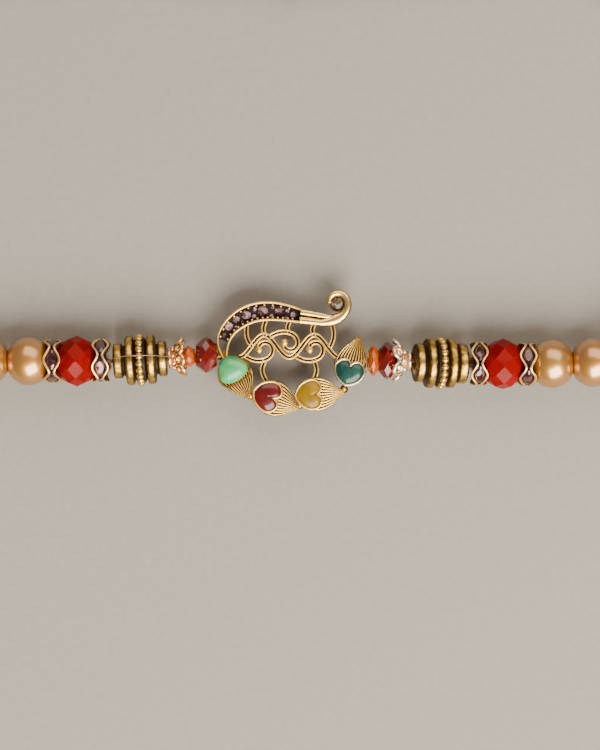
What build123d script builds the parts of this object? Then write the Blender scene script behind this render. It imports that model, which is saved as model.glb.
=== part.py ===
from build123d import *
import math
import os

# A rakhi: a cast pendant between two strings of beads, tied into one loop with two cords.
# Millimetres. The origin is on the surface that the rakhi lies on, under the pendant, with +X along
# the string to the wearer's right, +Y across it and +Z up. The loop closes on the +Y side.

# Stringing
BORE_D = 1.2
THREAD_D = 0.7
SEAT_GAP = 0.05
FLOOR_GAP = 0.02

# Pearls: nearly round, with flat drilled ends
PEARL_D = 7.9
PEARL_LENGTH = 6.6
PEARL_FACE_R = 1.69

# Red faceted glass
RED_BEAD_D = 8.24
RED_BEAD_SIDES = 8
RED_BEAD_BELT = 1.29
RED_BEAD_SHOULDER = 2.45
RED_BEAD_LENGTH = 6.46

# Red crystal and orange bead on each side of the pendant
CRYSTAL_SIDES = 8
CRYSTAL_BELT_SHARE = 0.18
CRYSTAL_BORE_D = 1.0

# Barrel beads: a core with five rings on it, from the pendant's side outwards, and a wide bore
BARREL_BORE_D = 2.6
BARREL_CORE_R = 2.45
GRANULE_COUNT = 20
GRANULE_R = 0.66
GRANULE_RING = 2
GRANULE_RING_R = 3.62
BARREL_RINGS = {
    "left": [
        {"length": 1.40, "radius": 2.88, "gap_after": 0.30},
        {"length": 1.55, "radius": 4.02, "gap_after": 0.00},
        {"length": 1.90, "radius": GRANULE_RING_R, "gap_after": 0.00},
        {"length": 1.55, "radius": 4.02, "gap_after": 0.40},
        {"length": 1.50, "radius": 2.84, "gap_after": 0.00},
    ],
    "right": [
        {"length": 1.50, "radius": 3.16, "gap_after": 0.20},
        {"length": 1.55, "radius": 4.05, "gap_after": 0.00},
        {"length": 1.90, "radius": GRANULE_RING_R, "gap_after": 0.00},
        {"length": 1.55, "radius": 4.02, "gap_after": 0.15},
        {"length": 1.75, "radius": 3.26, "gap_after": 0.00},
    ],
}
RING_ROUNDING_SHARE = 0.42

# Flower cap
PETAL_R = 1.12
PETAL_HOLE_R = 0.52
PETAL_THICK = 0.55
PETAL_LEAN_DEG = 48
PETAL_SINK = 0.1
COLLAR_R = 1.75

# Wavy rondelle with five stones
RONDELLE_STONES = 5
RONDELLE_PLATE_R = 3.45
RONDELLE_HALF_NECK = 0.6
CELL_FOOT = {"radius": 1.9, "axial": 0.46, "around": 1.0}
CELL_TOP = {"radius": 3.2, "axial": 1.42, "around": 1.95}
CELL_WALL = 0.3
CELL_DEPTH = 0.75
CELL_CLEAR = 0.4
CELL_STONE = {"half": 1.30, "squash": 0.66}

# Cut stones: shares of the stone's half width
STONE_SIDES = 8
TABLE_SHARE = 0.58
CROWN_SHARE = 0.34
PAVILION_SHARE = 0.45
FOOT_SHARE = 0.4

# Pendant heights above the surface
PENDANT_BACK = 3.0
SCROLL_TOP = 4.5
FAN_TOP = 4.75
FAN_GROOVE = 0.6
CUP_FLOOR = 4.85
CUP_TOP = 5.3
CHANNEL_FLOOR = 4.1
CHANNEL_TOP = 5.1
RIBBON_TOP = 5.2
CUP_RIM = 0.3
CHANNEL_RIM = 0.3
SOCKET_R = 0.72
SOCKET_BORE_R = 0.4
SOCKET_REACH = 3.0
LEFT_SOCKET = (-12.05, -10.2)
RIGHT_SOCKET = (10.6, 12.15)

# Outline of the channel from its tail to the ribbon: outer edge, then inner edge
CHANNEL_OUTER = [(-11.2, 0.2), (-12.2, 3.4), (-10.7, 6.7), (-6.9, 9.2), (-4.5, 9.6), (-1.9, 9.4), (1.5, 8.4)]
CHANNEL_INNER = [(-10.5, 0.2), (-10.2, 2.7), (-9.2, 4.4), (-7.5, 5.6), (-5.7, 6.3), (-3.8, 6.5), (1.5, 6.1)]
# Steps of those edges that are left solid at the tail, and the steps after them that have no floor
CHANNEL_SHUT = 2
CHANNEL_OPEN = 2

# Smooth ribbon and its curl: centre line and half width
RIBBON = [
    {"x": 1.2, "y": 7.15, "half": 1.20},
    {"x": 3.5, "y": 6.85, "half": 1.12},
    {"x": 5.6, "y": 6.60, "half": 0.98},
    {"x": 7.1, "y": 6.80, "half": 0.85},
    {"x": 8.3, "y": 7.60, "half": 0.66},
    {"x": 8.95, "y": 8.80, "half": 0.58},
    {"x": 8.75, "y": 10.05, "half": 0.55},
    {"x": 7.95, "y": 10.82, "half": 0.52},
    {"x": 6.95, "y": 10.90, "half": 0.48},
    {"x": 6.10, "y": 10.30, "half": 0.44},
    {"x": 5.95, "y": 9.35, "half": 0.36},
]
RIBBON_GROOVE_SHARES = (0.05, 0.22)
RIBBON_GROOVE_ROWS = 4
RIBBON_GROOVE_DEPTH = 0.5
CURL_SEAT_R = 1.25
CURL_STONE = {"x": 7.25, "y": 9.2, "r": 1.0}

# Stones of the channel
CHANNEL_STONES = [
    {"x": -11.05, "y": 4.15, "r": 0.42},
    {"x": -10.25, "y": 5.60, "r": 0.68},
    {"x": -9.10, "y": 6.75, "r": 0.58},
    {"x": -9.05, "y": 5.42, "r": 0.34},
    {"x": -7.45, "y": 7.47, "r": 0.74},
    {"x": -7.95, "y": 6.28, "r": 0.34},
    {"x": -6.15, "y": 8.42, "r": 0.38},
    {"x": -6.20, "y": 7.20, "r": 0.38},
    {"x": -4.74, "y": 8.08, "r": 0.86},
    {"x": -3.40, "y": 7.30, "r": 0.36},
    {"x": -3.25, "y": 8.70, "r": 0.34},
    {"x": -2.12, "y": 8.08, "r": 0.76},
    {"x": -1.10, "y": 7.05, "r": 0.34},
    {"x": -0.85, "y": 8.05, "r": 0.36},
    {"x": 0.12, "y": 7.48, "r": 0.56},
]

# Buds: middle of the heart, heading towards the fan's tip, and sizes
BUDS = {
    "green": {"x": -9.65, "y": -1.55, "heading": -59, "long": 4.3, "wide": 5.0, "notch": 0.42,
              "reach": 5.45, "fan": 4.25, "aside": 0.32},
    "red": {"x": -4.15, "y": -5.60, "heading": -21, "long": 4.2, "wide": 4.7, "notch": 0.20,
            "reach": 5.7, "fan": 4.7, "aside": 0.0},
    "yellow": {"x": 2.60, "y": -5.45, "heading": 4, "long": 4.0, "wide": 4.5, "notch": 0.28,
               "reach": 5.9, "fan": 4.5, "aside": 0.0},
    "teal": {"x": 9.10, "y": -1.90, "heading": 74, "long": 3.9, "wide": 4.5, "notch": 0.26,
             "reach": 6.1, "fan": 4.5, "aside": 0.0},
}
# Half of the heart's outline, from its point to its notch: shares of its length and width
HEART = [
    {"along": -0.50, "across": 0.00},
    {"along": -0.36, "across": 0.26},
    {"along": -0.08, "across": 0.45},
    {"along": 0.22, "across": 0.49},
    {"along": 0.44, "across": 0.32},
    {"along": 0.45, "across": 0.14},
]
# Directions of that outline at its point and at its notch
HEART_POINT_WAY = (0.35, 0.94)
HEART_NOTCH_WAY = (-0.75, -0.65)
# Half of the fan's outline: shares of its reach and of its width
FAN = [
    {"along": -0.16, "across": 0.36},
    {"along": 0.10, "across": 0.575},
    {"along": 0.38, "across": 0.565},
    {"along": 0.63, "across": 0.40},
    {"along": 0.84, "across": 0.17},
    {"along": 1.00, "across": 0.02},
]
FAN_RIBS = 10
RIB_SHARE = 0.5
FAN_GROOVE_END = 0.90
DOME_RISE = 0.75
DOME_EDGE = 0.12

# Scrollwork: a waving stem with a tendril in each bend
WIRE_W = 0.85
WIRE_GROOVE_SHARE = 0.34
WIRE_GROOVE_DEPTH = 0.35
STEM_START = -8.7
STEM_END = 7.6
STEM_MIDDLE = 2.4
STEM_SWING = 1.8
STEM_WAVES = 2
SMOOTH_STEPS = 22
# A tendril from where it leaves the stem to its curled end, measured from the middle of its bend
TENDRIL = [
    {"along": -3.20, "inward": -1.50},
    {"along": -1.90, "inward": -2.15},
    {"along": -0.25, "inward": -2.25},
    {"along": 1.05, "inward": -1.55},
    {"along": 1.35, "inward": -0.30},
    {"along": 0.45, "inward": 0.60},
    {"along": -0.60, "inward": 0.25},
    {"along": -0.75, "inward": -0.60},
]
TENDRIL_PLACES = [
    {"x": -4.63, "y": 2.4, "flip": 1},
    {"x": -0.55, "y": 2.4, "flip": -1},
    {"x": 3.53, "y": 2.4, "flip": 1},
]
BERRY_R = 0.6
STALKS = [
    [(-6.6, 2.4), (-7.3, 3.6), (-7.4, 5.8)],
    [(-4.4, 4.0), (-4.7, 5.2), (-4.3, 6.6)],
    [(-0.5, 4.5), (-0.8, 5.4), (-0.5, 6.4)],
    [(3.5, 4.0), (3.2, 4.9), (3.6, 6.2)],
    [(6.0, 2.2), (6.6, 3.8), (6.4, 6.0)],
    [(-4.4, 0.2), (-4.9, -1.4), (-4.2, -3.3)],
    [(3.4, 0.2), (3.9, -1.4), (3.3, -3.2)],
]
# Blobs of solder where a fan's tip meets its neighbour
LINKS = [
    {"x": -6.75, "y": -5.7, "r": 0.55},
    {"x": 1.2, "y": -7.2, "r": 0.55},
    {"x": 8.35, "y": -4.55, "r": 0.65},
]
LINK_TOP = 4.8

# Tie cord and knot
CORD_D = 1.4
KNOT_D = 3.4
KNOT_LENGTH = 4.2
KNOT_Z = KNOT_D / 2 + FLOOR_GAP
CORD_Z = CORD_D / 2 + FLOOR_GAP
KNOT_NECK_R = CORD_D / 2 + 0.1
TURN_SHARE = 0.45

# Where the string runs. Its height is set by the barrels, which touch the surface.
STRING_Z = GRANULE_RING_R + GRANULE_R + FLOOR_GAP
PEARL_TURN_GAP = 0.9
THREAD_BEND_R = 1.3
THREAD_EASY_R = 12.0

# Points of each half of the string, from the pendant's socket outwards, and of each tie cord
LEFT_STRING = [
    (-10.4, 0.95), (-14.8, 0.95), (-20.5, 0.40), (-28.0, 0.0), (-52.95, 0.0),
    (-59.45, 3.75), (-63.2, 10.24), (-63.2, 24.2),
]
RIGHT_STRING = [
    (11.0, 0.1), (19.5, 0.05), (22.5, -0.33), (29.0, -0.42), (40.0, -0.5), (52.2, -0.15),
    (58.7, 3.6), (62.45, 10.1), (62.45, 24.05),
]
LEFT_CORD = [
    (-63.2, 24.2, STRING_Z), (-63.2, 30.0, STRING_Z), (-63.9, 38.2, 0.9), (-62.9, 46.8, CORD_Z),
    (-58.6, 55.6, CORD_Z), (-48.8, 60.7, CORD_Z), (-33.0, 61.6, CORD_Z), (-18.0, 60.8, 0.85),
    (-8.0, 61.3, KNOT_Z), (-2.1, 61.3, KNOT_Z),
]
RIGHT_CORD = [
    (62.45, 24.05, STRING_Z), (62.45, 29.6, STRING_Z), (63.3, 37.6, 0.9), (63.0, 46.4, CORD_Z),
    (59.5, 55.4, CORD_Z), (50.6, 60.9, CORD_Z), (35.0, 61.9, CORD_Z), (19.5, 60.8, 0.85),
    (8.5, 61.3, KNOT_Z), (2.1, 61.3, KNOT_Z),
]

# How far each bead's middle is from the pendant's middle, along the string
PEARL_PITCH = PEARL_LENGTH + SEAT_GAP
PEARL_TURN_PITCH = PEARL_LENGTH + PEARL_TURN_GAP
SIDES = {
    "left": {
        "route": LEFT_STRING,
        "crystal": {"at": 13.9, "d": 5.85, "length": 3.4},
        "orange": {"at": 16.7, "d": 3.5, "length": 2.0},
        "cap": {"at": 20.05, "spread": 1.0, "depth": 2.95, "collar": 1.0, "petals": 8, "first": 0.25},
        "barrel": {"at": 24.6, "pitch": 0},
        "rondelle_inner": {"at": 30.94, "roll": 53},
        "red_bead": {"at": 34.83, "roll": 22.5},
        "rondelle_outer": {"at": 38.70, "roll": 4},
        "first_pearl": 42.65,
    },
    "right": {
        "route": RIGHT_STRING,
        "crystal": {"at": 15.35, "d": 6.2, "length": 2.9},
        "orange": {"at": 13.07, "d": 5.4, "length": 1.6},
        "cap": {"at": 19.2, "spread": 1.1, "depth": 3.25, "collar": 1.3, "petals": 6, "first": 0.5},
        "barrel": {"at": 23.9, "pitch": 10},
        "rondelle_inner": {"at": 30.15, "roll": 36},
        "red_bead": {"at": 34.05, "roll": 30},
        "rondelle_outer": {"at": 37.95, "roll": -25},
        "first_pearl": 41.95,
    },
}
# How far the beads are turned round the string. A barrel's pitch lowers its outer end, as its bore is wide.
CRYSTAL_ROLL = 11
BARREL_ROLL = 9
PEARLS_ON_STRAIGHT = 2
PEARLS_ON_TURN = 3
PEARLS_AFTER_TURN = 1


def blend(a, b, share):
    return a + (b - a) * share


def polyhedron(points, faces):
    """A closed solid with flat faces, each a list of point numbers."""
    made = [Face(Wire.make_polygon([Vector(*points[i]) for i in f])) for f in faces]
    return Solid(Shell(made))


def ring(count, radius, height, turn=0.0, squash=1.0):
    """Points round a circle, or an ellipse that is squash times as wide along X."""
    steps = [math.tau * (i + turn) / count for i in range(count)]
    return [(radius * squash * math.cos(a), radius * math.sin(a), height) for a in steps]


def kite_bead(count, rings, bore):
    """A bead covered with kite facets. Each ring of corners is turned half a step from the last.

    rings holds (radius, height) from one end to the other. A kite has a corner on ring k, two on
    ring k+1 and one on ring k+2. Triangles and the two flat ends close it."""
    points = []
    for k, (radius, height) in enumerate(rings):
        points += ring(count, radius, height, turn=(k % 2) / 2)

    def corner(k, i):
        return k * count + i % count

    faces = [[corner(0, i) for i in range(count)], [corner(len(rings) - 1, i) for i in range(count)]]
    for i in range(count):
        faces.append([corner(0, i), corner(0, i + 1), corner(1, i)])
        last = len(rings) - 1
        if last % 2:
            faces.append([corner(last, i), corner(last, i + 1), corner(last - 1, i + 1)])
        else:
            faces.append([corner(last, i), corner(last, i + 1), corner(last - 1, i)])
        for k in range(last - 1):
            side = i if k % 2 == 0 else i + 1
            faces.append([corner(k, i), corner(k + 1, side - 1), corner(k + 2, i), corner(k + 1, side)])
    solid = polyhedron(points, faces)
    return solid - Cylinder(bore / 2, 3 * max(h for _, h in rings))


def planar_next(count, before, middle, height):
    """The radius at height that puts a kite's last corner in the plane of its other three."""
    inward = middle[0] * math.cos(math.pi / count)
    return before[0] + (inward - before[0]) * (height - before[1]) / (middle[1] - before[1])


def red_bead():
    """Rhombic facets round the belt, with kites that run to the drilled ends."""
    n = RED_BEAD_SIDES
    equator = (RED_BEAD_D / 2, 0.0)
    belt = (RED_BEAD_D / 2 * math.cos(math.pi / n), RED_BEAD_BELT)
    shoulder = (planar_next(n, equator, belt, RED_BEAD_SHOULDER), RED_BEAD_SHOULDER)
    end = (planar_next(n, belt, shoulder, RED_BEAD_LENGTH / 2), RED_BEAD_LENGTH / 2)
    upper = [belt, shoulder, end]
    rings = [(r, -h) for r, h in reversed(upper)] + [equator] + upper
    return kite_bead(n, rings, BORE_D)


def crystal(d, length):
    """A short faceted glass bead: rhombic facets round the belt, and one row of kites on each side."""
    n = CRYSTAL_SIDES
    equator = (d / 2, 0.0)
    belt = (d / 2 * math.cos(math.pi / n), length * CRYSTAL_BELT_SHARE)
    end = (planar_next(n, equator, belt, length / 2), length / 2)
    rings = [(r, -h) for r, h in (end, belt)] + [equator, belt, end]
    return kite_bead(n, rings, CRYSTAL_BORE_D)


def cut_stone(half, squash=1.0):
    """A stone with a table, crown and pavilion facets and a flat foot, its girdle at height 0."""
    levels = [
        (half * FOOT_SHARE, -half * PAVILION_SHARE),
        (half, 0.0),
        (half * TABLE_SHARE, half * CROWN_SHARE),
    ]
    n = STONE_SIDES
    points = []
    for radius, height in levels:
        points += ring(n, radius, height, turn=0.5, squash=squash)
    faces = [list(range(n)), list(range(2 * n, 3 * n))]
    for k in range(2):
        for i in range(n):
            j = (i + 1) % n
            faces.append([k * n + i, k * n + j, (k + 1) * n + j, (k + 1) * n + i])
    return polyhedron(points, faces)


def pearl():
    """A nearly round bead with flat ends, drilled."""
    radius, cut = PEARL_D / 2, PEARL_LENGTH / 2
    profile = ThreePointArc((PEARL_FACE_R, -cut), (radius, 0), (PEARL_FACE_R, cut))
    corners = [(PEARL_FACE_R, cut), (0, cut), (0, -cut), (PEARL_FACE_R, -cut)]
    section = Plane.XZ * make_face([profile, *Polyline(*corners).edges()])
    return revolve(section, Axis.Z) - Cylinder(BORE_D / 2, 2 * PEARL_LENGTH)


def barrel(rings):
    """Rounded rings on a core, the middle one beaded with granules. One casting."""
    length = sum(row["length"] + row["gap_after"] for row in rings)
    body = Cylinder(BARREL_CORE_R, length)
    at = -length / 2
    for number, row in enumerate(rings):
        middle = at + row["length"] / 2
        round_over = row["length"] * RING_ROUNDING_SHARE
        section = Pos(row["radius"] / 2, middle) * Rectangle(row["radius"], row["length"])
        section = fillet(section.vertices().group_by(Axis.X)[-1], round_over)
        body += revolve(Plane.XZ * section, Axis.Z)
        if number == GRANULE_RING:
            for i in range(GRANULE_COUNT):
                body += Rot(0, 0, 360 * i / GRANULE_COUNT) * Pos(row["radius"], 0, middle) * Sphere(GRANULE_R)
        at += row["length"] + row["gap_after"]
    return body - Cylinder(BARREL_BORE_D / 2, 2 * length)


def flower_cap(row):
    """A collar at height 0, a bowl, and a ring of pierced petals that lean out to the rim, as one casting."""
    lean = math.radians(PETAL_LEAN_DEG)
    upright = (Align.CENTER, Align.CENTER, Align.MIN)
    petal_at = (COLLAR_R + (PETAL_R - PETAL_SINK) * math.cos(lean)) * row["spread"]
    petal_up = row["depth"] - PETAL_R * math.sin(lean) - PETAL_THICK / 2 * math.cos(lean)
    bowl_low = row["collar"] - PETAL_SINK
    bowl = Pos(0, 0, bowl_low) * Cone(COLLAR_R, petal_at, petal_up - bowl_low, align=upright)
    body = Cylinder(COLLAR_R, row["collar"], align=upright) + bowl
    petal = Cylinder(PETAL_R * row["spread"], PETAL_THICK) - Cylinder(PETAL_HOLE_R, 2 * PETAL_THICK)
    for i in range(row["petals"]):
        turn = 360 * (i + row["first"]) / row["petals"]
        body += Rot(0, 0, turn) * Pos(petal_at, 0, petal_up) * Rot(0, -PETAL_LEAN_DEG, 0) * petal
    return body - Cylinder(BORE_D / 2, 4 * row["depth"])


def cell_frame(number, radius):
    """A plane that faces outwards at that radius, in front of a rondelle's stone."""
    angle = math.tau * number / RONDELLE_STONES
    out = Vector(math.cos(angle), math.sin(angle), 0)
    return Plane(origin=out * radius, x_dir=(0, 0, 1), z_dir=out)


def cell_solid(number, foot, top, shrink=0.0):
    low = cell_frame(number, foot["radius"]) * Ellipse(foot["axial"] - shrink, foot["around"] - shrink)
    high = cell_frame(number, top["radius"]) * Ellipse(top["axial"] - shrink, top["around"] - shrink)
    return loft([low, high])


def pocket_levels():
    """The floor of a rondelle's cell, and its mouth, which is outside the plate."""
    share = (CELL_TOP["radius"] - CELL_DEPTH - CELL_FOOT["radius"]) / (CELL_TOP["radius"] - CELL_FOOT["radius"])
    floor = {key: blend(CELL_FOOT[key], CELL_TOP[key], share) for key in CELL_FOOT}
    past = 1 + CELL_CLEAR / (CELL_TOP["radius"] - CELL_FOOT["radius"])
    mouth = {key: blend(CELL_FOOT[key], CELL_TOP[key], past) for key in CELL_FOOT}
    return floor, mouth


def rondelle():
    """A plate with five flared cells. Their rims make the wavy edges."""
    body = Cylinder(RONDELLE_PLATE_R, 2 * RONDELLE_HALF_NECK)
    for i in range(RONDELLE_STONES):
        body += cell_solid(i, CELL_FOOT, CELL_TOP)
    floor, mouth = pocket_levels()
    for i in range(RONDELLE_STONES):
        body -= cell_solid(i, floor, mouth, CELL_WALL)
    return body - Cylinder(BORE_D / 2, 10)


def rondelle_stones():
    """Oval stones that stand on the floors of the cells and stay clear of their walls."""
    floor, _ = pocket_levels()
    half = CELL_STONE["half"]
    stones = []
    for i in range(RONDELLE_STONES):
        seat = cell_frame(i, floor["radius"] + SEAT_GAP / 2 + half * PAVILION_SHARE)
        stones.append(seat.location * cut_stone(half, CELL_STONE["squash"]))
    return Compound(children=stones)


def spline_face(*runs):
    """A face inside smooth curves through lists of points, each starting where the last one ends."""
    edges = []
    for run in runs:
        edges.append(Spline(*run) if len(run) > 2 else Line(*run))
    return make_face(edges)


def band_face(line, halves, low=-1.0, high=1.0):
    """The strip along a line of points, between two shares of its half widths."""
    sides = ([], [])
    for i, (x, y) in enumerate(line):
        before, after = line[max(i - 1, 0)], line[min(i + 1, len(line) - 1)]
        dx, dy = after[0] - before[0], after[1] - before[1]
        size = math.hypot(dx, dy)
        for side, share in zip(sides, (low, high)):
            off = halves[i] * share
            side.append((x - dy / size * off, y + dx / size * off))
    right, left = sides
    return spline_face(right, [right[-1], left[-1]], left[::-1], [left[0], right[0]])


def raised(face, low, high):
    return Pos(0, 0, low) * extrude(face, high - low)


def channel_outline():
    return spline_face(CHANNEL_OUTER, [CHANNEL_OUTER[-1], CHANNEL_INNER[-1]], CHANNEL_INNER[::-1],
                       [CHANNEL_INNER[0], CHANNEL_OUTER[0]])


def channel_inside(first, last):
    """The inside of the channel between two steps: each edge moved towards the other by the rim."""
    sides = ([], [])
    pairs = list(zip(smooth(CHANNEL_OUTER), smooth(CHANNEL_INNER)))
    for outer, inner in pairs[first:last + 1]:
        share = CHANNEL_RIM / math.dist(outer, inner)
        for side, a, b in zip(sides, (outer, inner), (inner, outer)):
            side.append((blend(a[0], b[0], share), blend(a[1], b[1], share)))
    outer, inner = sides
    return spline_face(outer, [outer[-1], inner[-1]], inner[::-1], [inner[0], outer[0]])


def channel():
    """The crescent channel, solid until its inside is cut with the whole frame."""
    return raised(channel_outline(), PENDANT_BACK, CHANNEL_TOP)


def channel_stones():
    """Loose stones that stand on the channel's floor."""
    stones = []
    for row in CHANNEL_STONES:
        tall = CHANNEL_FLOOR + SEAT_GAP / 2 + row["r"] * PAVILION_SHARE
        stones.append(Pos(row["x"], row["y"], tall) * cut_stone(row["r"]))
    return Compound(children=stones)


def ribbon():
    """The smooth ribbon and its curl, with a groove along its first part and a seat for the stone."""
    line = [(row["x"], row["y"]) for row in RIBBON]
    halves = [row["half"] for row in RIBBON]
    body = raised(band_face(line, halves), PENDANT_BACK, RIBBON_TOP)
    first = slice(0, RIBBON_GROOVE_ROWS)
    groove = band_face(line[first], halves[first], *RIBBON_GROOVE_SHARES)
    body -= raised(groove, RIBBON_TOP - RIBBON_GROOVE_DEPTH, RIBBON_TOP + 1)
    seat = raised(Pos(CURL_STONE["x"], CURL_STONE["y"]) * Circle(CURL_SEAT_R), PENDANT_BACK, CHANNEL_TOP)
    hollow = raised(Pos(CURL_STONE["x"], CURL_STONE["y"]) * Circle(CURL_STONE["r"] + 2 * SEAT_GAP),
                    CHANNEL_FLOOR, RIBBON_TOP + 1)
    return body + seat - hollow


def curl_stone():
    tall = CHANNEL_FLOOR + SEAT_GAP / 2 + CURL_STONE["r"] * PAVILION_SHARE
    return Pos(CURL_STONE["x"], CURL_STONE["y"], tall) * cut_stone(CURL_STONE["r"])


def smooth(points):
    """Points along a smooth curve through a few chosen ones."""
    curve = Spline(*points)
    found = [curve @ (i / SMOOTH_STEPS) for i in range(SMOOTH_STEPS + 1)]
    return [(p.X, p.Y) for p in found]


def stem_point(share):
    """The waving stem: a sine wave between its two ends, in a trough at each."""
    swing = STEM_SWING * math.cos(math.tau * STEM_WAVES * share)
    return (blend(STEM_START, STEM_END, share), STEM_MIDDLE - swing)


def tendril(place):
    return [(place["x"] + row["along"], place["y"] + row["inward"] * place["flip"]) for row in TENDRIL]


def berry(place):
    """The round end of a tendril."""
    end = Pos(*tendril(place)[-1])
    post = raised(end * Circle(BERRY_R), PENDANT_BACK, SCROLL_TOP)
    return post + Pos(0, 0, SCROLL_TOP) * end * Sphere(BERRY_R)


def scroll_lines():
    """The stem, its tendrils, and the stalks that tie them to the frame."""
    stem = [stem_point(i / (2 * SMOOTH_STEPS)) for i in range(2 * SMOOTH_STEPS + 1)]
    return [stem] + [smooth(tendril(place)) for place in TENDRIL_PLACES] + [smooth(points) for points in STALKS]


def scrollwork():
    """Flat wires with a groove along each, so both of their edges stand up."""
    wires = []
    grooves = []
    for line in scroll_lines():
        halves = [WIRE_W / 2] * len(line)
        wires.append(raised(band_face(line, halves), PENDANT_BACK, SCROLL_TOP))
        inner = band_face(line, halves, -WIRE_GROOVE_SHARE, WIRE_GROOVE_SHARE)
        grooves.append(raised(inner, SCROLL_TOP - WIRE_GROOVE_DEPTH, SCROLL_TOP + 1))
    return wires, grooves


def bud_place(bud):
    return Pos(bud["x"], bud["y"]) * Rot(0, 0, bud["heading"])


def heart_face(bud, grow=0.0):
    """The heart, with its point away from the fan. grow moves the outline outwards."""
    half = [(row["along"] * bud["long"], row["across"] * bud["wide"]) for row in HEART]
    half.append((bud["notch"] * bud["long"], 0.0))
    upper = [(half[0][0] - grow, 0.0)]
    for before, (x, y), after in zip(half, half[1:], half[2:]):
        dx, dy = after[0] - before[0], after[1] - before[1]
        size = math.hypot(dx, dy)
        upper.append((x - dy / size * grow, y + dx / size * grow))
    upper.append((half[-1][0] + grow, 0.0))
    ways = [HEART_POINT_WAY, HEART_NOTCH_WAY]
    lower = [(x, -y) for x, y in upper]
    return make_face([Spline(*upper, tangents=ways), Spline(*lower, tangents=[(x, -y) for x, y in ways])])


def fan_strip(bud, low, high, first=0, end=1.0):
    """The part of a bud's fan between two shares of its half width, from one row of its table.
    end is where it stops, as a share of the reach. The fan's root may be moved aside."""
    shares = [(row["along"], row["across"]) for row in FAN[first:]]
    before, last = shares[-2:]
    part = (end - before[0]) / (last[0] - before[0])
    shares[-1] = (end, blend(before[1], last[1], part))
    sides = []
    for side in (low, high):
        sides.append([(along * bud["reach"], across * bud["fan"] * side + bud["aside"] * (1 - along))
                      for along, across in shares])
    return spline_face(sides[0], [sides[0][-1], sides[1][-1]], sides[1][::-1], [sides[1][0], sides[0][0]])


def bud(row):
    """A ribbed fan and a heart-shaped cup, whose pocket is cut when the frame is whole."""
    body = raised(fan_strip(row, -1, 1), PENDANT_BACK, FAN_TOP)
    step = 2 / (FAN_RIBS + RIB_SHARE)
    for i in range(FAN_RIBS):
        low = -1 + step * (i + RIB_SHARE)
        groove = fan_strip(row, low, low + step * (1 - RIB_SHARE), first=1, end=FAN_GROOVE_END)
        body -= raised(groove, FAN_TOP - FAN_GROOVE, FAN_TOP + 1)
    body += raised(heart_face(row, CUP_RIM), PENDANT_BACK, CUP_TOP)
    return bud_place(row) * body


def enamel(row):
    """A domed heart in its cup, just clear of the rim."""
    prism = raised(heart_face(row, -SEAT_GAP), CUP_FLOOR, CUP_TOP + 2)
    top = CUP_TOP + DOME_RISE
    drop = top - CUP_TOP - DOME_EDGE
    reach = row["wide"] / 2
    radius = (reach ** 2 + drop ** 2) / (2 * drop)
    return bud_place(row) * (prism & Pos(0, 0, top - radius) * Sphere(radius))


def socket(x_low, x_high, y):
    """A short tube soldered to the pendant, which takes the end of a thread."""
    place = Pos((x_low + x_high) / 2, y, STRING_Z) * Rot(0, 90, 0)
    return place * Cylinder(SOCKET_R, x_high - x_low)


def thread_bore(end, y):
    """The hole of a socket, from just past the thread's end outwards."""
    way = math.copysign(1, end)
    middle = end - way * SEAT_GAP + way * SOCKET_REACH / 2
    return Pos(middle, y, STRING_Z) * Rot(0, 90, 0) * Cylinder(SOCKET_BORE_R, SOCKET_REACH)


def pendant_frame():
    """Everything that is cast or soldered to the pendant. The scrollwork's grooves are cut first,
    so they stop at the pieces that it joins."""
    wires, grooves = scrollwork()
    body = wires[0]
    for wire in wires[1:]:
        body += wire
    for groove in grooves:
        body -= groove
    links = [raised(Pos(row["x"], row["y"]) * Circle(row["r"]), PENDANT_BACK, LINK_TOP) for row in LINKS]
    buds = [bud(row) for row in BUDS.values()]
    berries = [berry(place) for place in TENDRIL_PLACES]
    sockets = [socket(*LEFT_SOCKET, LEFT_STRING[0][1]), socket(*RIGHT_SOCKET, RIGHT_STRING[0][1])]
    for piece in [*berries, channel(), ribbon(), *buds, *links, *sockets]:
        body += piece
    for row in BUDS.values():
        body -= bud_place(row) * raised(heart_face(row), CUP_FLOOR, CUP_TOP + 1)
    body -= raised(channel_inside(CHANNEL_SHUT, SMOOTH_STEPS), CHANNEL_FLOOR, CHANNEL_TOP + 1)
    opening = channel_inside(CHANNEL_SHUT, CHANNEL_SHUT + CHANNEL_OPEN)
    body -= raised(opening, PENDANT_BACK - 1, CHANNEL_TOP + 1)
    for end in (LEFT_STRING[0], RIGHT_STRING[0]):
        body -= thread_bore(*end)
    return body


def string_points(side):
    return [(x, y, STRING_Z) for x, y in SIDES[side]["route"]]


def on_string(side, at, roll=0.0):
    """The place at that distance from the pendant's middle, with local Z outwards along the string
    and local X up, turned by roll."""
    points = [Vector(*p) for p in string_points(side)]
    left = at - abs(points[0].X)
    for a, b in zip(points, points[1:]):
        run = (b - a).length
        if left <= run or b is points[-1]:
            way = (b - a).normalized()
            frame = Plane(origin=a + way * left, x_dir=(0, 0, 1), z_dir=way)
            return frame.location * Rot(0, 0, roll)
        left -= run


def thread(side):
    """The stringing thread, from the pendant's socket to the last pearl."""
    points = string_points(side)
    turns = len(points) - 2
    sharp = PEARLS_ON_TURN
    radii = [THREAD_EASY_R] * (turns - sharp) + [THREAD_BEND_R] * sharp
    path = FilletPolyline(*points, radius=radii)
    return sweep(Plane(origin=path @ 0, z_dir=path % 0) * Circle(THREAD_D / 2), path=path)


def cord_radii(points):
    """Each bend is as wide as its two runs allow."""
    vectors = [Vector(*p) for p in points]
    radii = []
    for a, b, c in zip(vectors, vectors[1:], vectors[2:]):
        turn = math.radians((b - a).get_angle(c - b))
        radii.append(TURN_SHARE * min((b - a).length, (c - b).length) / math.tan(turn / 2))
    return radii


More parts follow.
